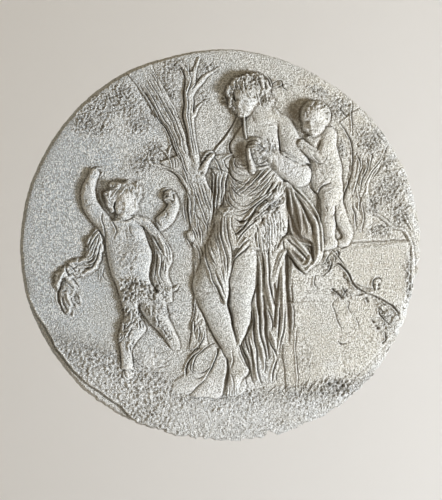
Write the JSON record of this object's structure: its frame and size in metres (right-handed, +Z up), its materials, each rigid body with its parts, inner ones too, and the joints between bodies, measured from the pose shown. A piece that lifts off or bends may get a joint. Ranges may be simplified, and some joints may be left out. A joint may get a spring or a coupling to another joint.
{
  "type": "wall relief",
  "caption": "Round plaster wall relief with figures, trees and rocks carved in low relief, flat at its back.",
  "frame": {"origin": "middle of the flat back face that lies against the wall", "axes": "+Y out of the flat back into the wall, the carved front faces -Y, +Z up, +X to the right seen from the front"},
  "size_m": [0.402, 0.0384, 0.3931],
  "materials": {
    "plaster": "matt, rough and weathered"
  },
  "bodies": {
    "root": {"plaster_relief": "plaster"}
  },
  "joints": []
}
